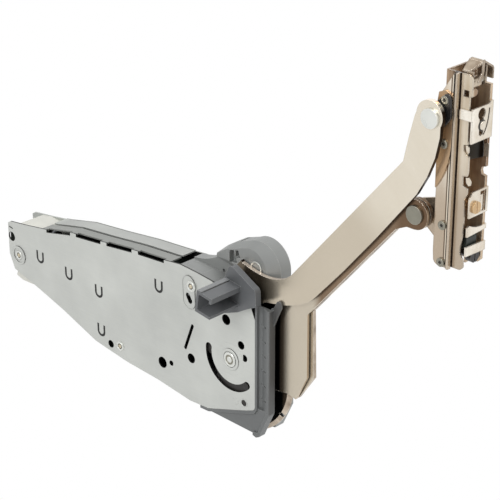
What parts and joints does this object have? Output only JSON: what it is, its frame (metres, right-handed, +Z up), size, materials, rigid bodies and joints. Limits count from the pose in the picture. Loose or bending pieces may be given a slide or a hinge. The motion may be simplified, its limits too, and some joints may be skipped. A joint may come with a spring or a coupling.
{
  "type": "lift-up flap fitting",
  "caption": "Parallel-lift flap fitting: galvanised spring housing, nickel lever pair and an adjustable door bracket, shown raised.",
  "frame": {"origin": "on the face that lies on the cabinet side, straight behind the large ring boss", "axes": "+X from the housing's rear to its front, +Z up, +Y into the cabinet side"},
  "size_m": [0.414, 0.066, 0.3036],
  "materials": {
    "galvanised": "zinc-plated sheet, matt",
    "grey_moulding": "fine grain",
    "dark_moulding": "fine grain",
    "cream_moulding": "satin",
    "black_moulding": "satin",
    "nickel_plate": "nickel-plated, satin",
    "bright_steel": "turned, bright",
    "dark_steel": "oiled",
    "spring_steel": "drawn wire",
    "brass": "turned"
  },
  "bodies": {
    "housing": {"near_plate": "galvanised", "wall_plate": "galvanised", "front_cover": "grey_moulding", "body_block": "grey_moulding", "far_block": "grey_moulding", "nose_cap": "grey_moulding", "cap_rivet": "bright_steel", "spring_seat": "cream_moulding", "guide_rods": "bright_steel", "drive_stud": "bright_steel", "plate_rivets": "bright_steel", "lower_pivot": "bright_steel"},
    "spring_slider": {"slider": "black_moulding", "compression_springs": "spring_steel", "roller_pin": "bright_steel"},
    "roller": {"cam_roller": "bright_steel"},
    "rocker": {"cam_rocker": "dark_steel", "slot_pin": "dark_steel", "rocker_link_pin": "bright_steel"},
    "link": {"coupling_link": "dark_steel"},
    "upper_arm": {"upper_lever": "nickel_plate", "shaft_socket": "dark_moulding", "pivot_axle": "bright_steel", "lever_link_pin": "bright_steel"},
    "lower_arm": {"face_plate": "nickel_plate", "back_plate": "nickel_plate", "plate_pair_rivets": "bright_steel", "lower_rivet": "bright_steel", "lower_spacer": "dark_steel"},
    "bracket": {"side_plate": "nickel_plate", "ear_plate": "nickel_plate", "pivot_boss": "dark_moulding", "bracket_screws": "bright_steel", "bracket_rivet": "bright_steel", "bracket_washers": "bright_steel"},
    "door_channel": {"channel": "nickel_plate", "keyhole_plate": "nickel_plate", "lock_finger": "spring_steel", "eccentric_plate": "nickel_plate", "cross_bars": "nickel_plate", "hook_pin": "bright_steel"},
    "eccentric": {"height_eccentric": "brass"},
    "adjuster": {"side_screw": "bright_steel"},
    "hook": {"release_hook": "nickel_plate"}
  },
  "joints": [
    {"name": "upper_lever_swing", "type": "hinge", "parent": "housing", "child": "upper_arm", "pos_m": [0.007, -0.0125, 0.054], "axis": [0, 1, 0], "range_deg": [0, 130]},
    {"name": "lower_lever_swing", "type": "hinge", "parent": "housing", "child": "lower_arm", "pos_m": [-0.004, -0.0125, -0.01], "axis": [0, 1, 0], "range_deg": [0, 130]},
    {"name": "bracket_swing", "type": "hinge", "parent": "upper_arm", "child": "bracket", "pos_m": [0.155, -0.0125, 0.20996], "axis": [0, 1, 0], "range_deg": [-130, 0]},
    {"name": "rocker_swing", "type": "hinge", "parent": "housing", "child": "rocker", "pos_m": [0, -0.022, 0], "axis": [0, 1, 0], "range_deg": [0, 130]},
    {"name": "link_swing", "type": "hinge", "parent": "rocker", "child": "link", "pos_m": [-0.00762, -0.0201, -0.01174], "axis": [0, 1, 0], "range_deg": [-130, 0]},
    {"name": "slider_travel", "type": "slide", "parent": "housing", "child": "spring_slider", "axis": [-1, 0, 0], "range_m": [0, 0.015]},
    {"name": "roller_spin", "type": "hinge", "parent": "spring_slider", "child": "roller", "pos_m": [-0.0206, -0.0221, 0], "axis": [0, 1, 0], "continuous": true},
    {"name": "height_adjust", "type": "slide", "parent": "bracket", "child": "door_channel", "axis": [0, 0, 1], "range_m": [-0.0018, 0.0018]},
    {"name": "eccentric_turn", "type": "hinge", "parent": "door_channel", "child": "eccentric", "pos_m": [0.177, -0.003, 0.15696], "axis": [1, 0, 0], "range_deg": [-70, 70]},
    {"name": "adjuster_turn", "type": "hinge", "parent": "door_channel", "child": "adjuster", "pos_m": [0.177, 0.002, 0.12395], "axis": [1, 0, 0], "range_deg": [-90, 90]},
    {"name": "hook_swing", "type": "hinge", "parent": "door_channel", "child": "hook", "pos_m": [0.1718, -0.0018, 0.23156], "axis": [0, 1, 0], "range_deg": [0, 20], "stiffness_Nm_per_rad": 0.05}
  ],
  "couplings": [
    {"joint": "lower_lever_swing", "follows": "upper_lever_swing", "ratio": 1},
    {"joint": "bracket_swing", "follows": "upper_lever_swing", "ratio": -1},
    {"joint": "rocker_swing", "follows": "upper_lever_swing", "ratio": 1},
    {"joint": "link_swing", "follows": "upper_lever_swing", "ratio": -1},
    {"joint": "slider_travel", "follows": "upper_lever_swing", "m_per_rad": 0.00661},
    {"joint": "eccentric_turn", "follows": "height_adjust", "rad_per_m": 678}
  ]
}
